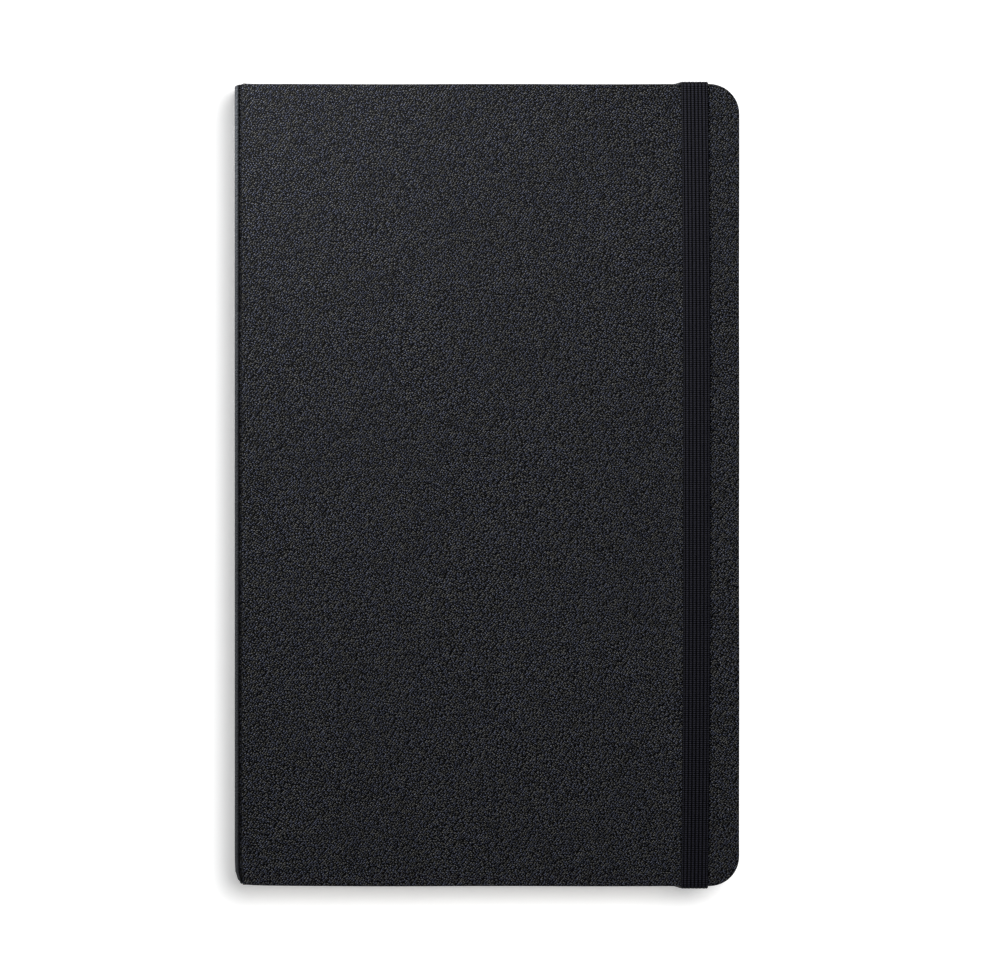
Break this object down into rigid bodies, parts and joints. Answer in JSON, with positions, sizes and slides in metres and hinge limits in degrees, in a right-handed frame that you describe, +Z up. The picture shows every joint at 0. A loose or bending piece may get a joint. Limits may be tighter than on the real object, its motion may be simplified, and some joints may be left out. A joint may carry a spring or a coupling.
{
  "type": "sketchbook",
  "caption": "Black hard-cover sketchbook, case bound and sewn, with rounded fore-edge corners and an elastic closure band; the covers and page sections open flat.",
  "frame": {"origin": "centre of the closed book's footprint, on the surface that its back cover lies on", "axes": "+X from the spine to the fore-edge, +Y from the tail to the head, +Z up, out of the front cover"},
  "size_m": [0.1322, 0.2112, 0.0166],
  "materials": {
    "leatherette": "fine grain, satin, black",
    "elastic": "knitted, ribbed along its length, black",
    "drawing_paper": "matte, ivory, slightly toothed",
    "endpaper": "matte, ivory, smooth",
    "board": "matte grey-brown pulp board",
    "kraft_paper": "matte brown",
    "mull": "open plain weave, starched",
    "thread": "twisted, off-white"
  },
  "bodies": {
    "back_cover": {"back_board": "board", "back_cover_skin": "leatherette", "back_joint_skin": "leatherette", "back_mull_wing": "mull", "back_pastedown": "endpaper", "elastic_head_run": "elastic", "elastic_tail_run": "elastic"},
    "spine": {"spine_skin": "leatherette", "spine_card": "board", "spine_lining": "kraft_paper", "spine_mull": "mull", "sewing_thread": "thread"},
    "front_cover": {"front_board": "board", "front_cover_skin": "leatherette", "front_joint_skin": "leatherette", "front_mull_wing": "mull", "front_pastedown": "endpaper"},
    "elastic_band": {"elastic_front_strand": "elastic"},
    "pages_back_0": {"back_flyleaf": "endpaper"},
    "pages_front_0": {"front_flyleaf": "endpaper"},
    "pages_back_1": {"signature_13": "drawing_paper"},
    "pages_front_1": {"signature_01": "drawing_paper"},
    "pages_back_2": {"signature_12": "drawing_paper"},
    "pages_front_2": {"signature_02": "drawing_paper"},
    "pages_back_3": {"signature_11": "drawing_paper"},
    "pages_front_3": {"signature_03": "drawing_paper"},
    "pages_back_4": {"signature_10": "drawing_paper"},
    "pages_front_4": {"signature_04": "drawing_paper"},
    "pages_back_5": {"signature_09": "drawing_paper"},
    "pages_front_5": {"signature_05": "drawing_paper"},
    "pages_back_6": {"signature_08": "drawing_paper"},
    "pages_front_6": {"signature_06": "drawing_paper"},
    "pages_back_7": {"signature_07_back": "drawing_paper"},
    "pages_front_7": {"signature_07_front": "drawing_paper"}
  },
  "joints": [
    {"name": "book_open", "type": "hinge", "parent": "back_cover", "child": "spine", "pos_m": [-0.06465, 0, 0.0014], "axis": [0, -1, 0], "range_deg": [0, 90], "deforming": ["back_joint_skin", "elastic_front_strand", "elastic_head_run", "elastic_tail_run"]},
    {"name": "front_cover_open", "type": "hinge", "parent": "spine", "child": "front_cover", "pos_m": [-0.06465, 0, 0.01463], "axis": [0, -1, 0], "range_deg": [0, 90], "deforming": ["front_joint_skin"]},
    {"name": "band_pull", "type": "slide", "parent": "back_cover", "child": "elastic_band", "axis": [1, 0, 0], "range_m": [0, 0.02], "stiffness_N_per_m": 150},
    {"name": "pages_back_0_turn", "type": "hinge", "parent": "spine", "child": "pages_back_0", "pos_m": [-0.06465, 0, 0.0014], "axis": [0, -1, 0], "range_deg": [-90, 0]},
    {"name": "pages_front_0_turn", "type": "hinge", "parent": "spine", "child": "pages_front_0", "pos_m": [-0.06465, 0, 0.01463], "axis": [0, -1, 0], "range_deg": [0, 90]},
    {"name": "pages_back_1_turn", "type": "hinge", "parent": "spine", "child": "pages_back_1", "pos_m": [-0.06465, 0, 0.0014], "axis": [0, -1, 0], "range_deg": [-90, 0]},
    {"name": "pages_front_1_turn", "type": "hinge", "parent": "spine", "child": "pages_front_1", "pos_m": [-0.06465, 0, 0.01463], "axis": [0, -1, 0], "range_deg": [0, 90]},
    {"name": "pages_back_2_turn", "type": "hinge", "parent": "spine", "child": "pages_back_2", "pos_m": [-0.06465, 0, 0.0014], "axis": [0, -1, 0], "range_deg": [-90, 0]},
    {"name": "pages_front_2_turn", "type": "hinge", "parent": "spine", "child": "pages_front_2", "pos_m": [-0.06465, 0, 0.01463], "axis": [0, -1, 0], "range_deg": [0, 90]},
    {"name": "pages_back_3_turn", "type": "hinge", "parent": "spine", "child": "pages_back_3", "pos_m": [-0.06465, 0, 0.0014], "axis": [0, -1, 0], "range_deg": [-90, 0]},
    {"name": "pages_front_3_turn", "type": "hinge", "parent": "spine", "child": "pages_front_3", "pos_m": [-0.06465, 0, 0.01463], "axis": [0, -1, 0], "range_deg": [0, 90]},
    {"name": "pages_back_4_turn", "type": "hinge", "parent": "spine", "child": "pages_back_4", "pos_m": [-0.06465, 0, 0.0014], "axis": [0, -1, 0], "range_deg": [-90, 0]},
    {"name": "pages_front_4_turn", "type": "hinge", "parent": "spine", "child": "pages_front_4", "pos_m": [-0.06465, 0, 0.01463], "axis": [0, -1, 0], "range_deg": [0, 90]},
    {"name": "pages_back_5_turn", "type": "hinge", "parent": "spine", "child": "pages_back_5", "pos_m": [-0.06465, 0, 0.0014], "axis": [0, -1, 0], "range_deg": [-90, 0]},
    {"name": "pages_front_5_turn", "type": "hinge", "parent": "spine", "child": "pages_front_5", "pos_m": [-0.06465, 0, 0.01463], "axis": [0, -1, 0], "range_deg": [0, 90]},
    {"name": "pages_back_6_turn", "type": "hinge", "parent": "spine", "child": "pages_back_6", "pos_m": [-0.06465, 0, 0.0014], "axis": [0, -1, 0], "range_deg": [-90, 0]},
    {"name": "pages_front_6_turn", "type": "hinge", "parent": "spine", "child": "pages_front_6", "pos_m": [-0.06465, 0, 0.01463], "axis": [0, -1, 0], "range_deg": [0, 90]},
    {"name": "pages_back_7_turn", "type": "hinge", "parent": "spine", "child": "pages_back_7", "pos_m": [-0.06465, 0, 0.0014], "axis": [0, -1, 0], "range_deg": [-90, 0]},
    {"name": "pages_front_7_turn", "type": "hinge", "parent": "spine", "child": "pages_front_7", "pos_m": [-0.06465, 0, 0.01463], "axis": [0, -1, 0], "range_deg": [0, 90]}
  ],
  "couplings": [
    {"joint": "front_cover_open", "follows": "book_open", "ratio": 1},
    {"joint": "pages_back_0_turn", "follows": "book_open", "ratio": -0.99889},
    {"joint": "pages_front_0_turn", "follows": "book_open", "ratio": 0.99889},
    {"joint": "pages_back_1_turn", "follows": "book_open", "ratio": -0.99444},
    {"joint": "pages_front_1_turn", "follows": "book_open", "ratio": 0.99444},
    {"joint": "pages_back_2_turn", "follows": "book_open", "ratio": -0.98889},
    {"joint": "pages_front_2_turn", "follows": "book_open", "ratio": 0.98889},
    {"joint": "pages_back_3_turn", "follows": "book_open", "ratio": -0.98333},
    {"joint": "pages_front_3_turn", "follows": "book_open", "ratio": 0.98333},
    {"joint": "pages_back_4_turn", "follows": "book_open", "ratio": -0.97778},
    {"joint": "pages_front_4_turn", "follows": "book_open", "ratio": 0.97778},
    {"joint": "pages_back_5_turn", "follows": "book_open", "ratio": -0.97222},
    {"joint": "pages_front_5_turn", "follows": "book_open", "ratio": 0.97222},
    {"joint": "pages_back_6_turn", "follows": "book_open", "ratio": -0.96667},
    {"joint": "pages_front_6_turn", "follows": "book_open", "ratio": 0.96667},
    {"joint": "pages_back_7_turn", "follows": "book_open", "ratio": -0.96111},
    {"joint": "pages_front_7_turn", "follows": "book_open", "ratio": 0.96111}
  ]
}
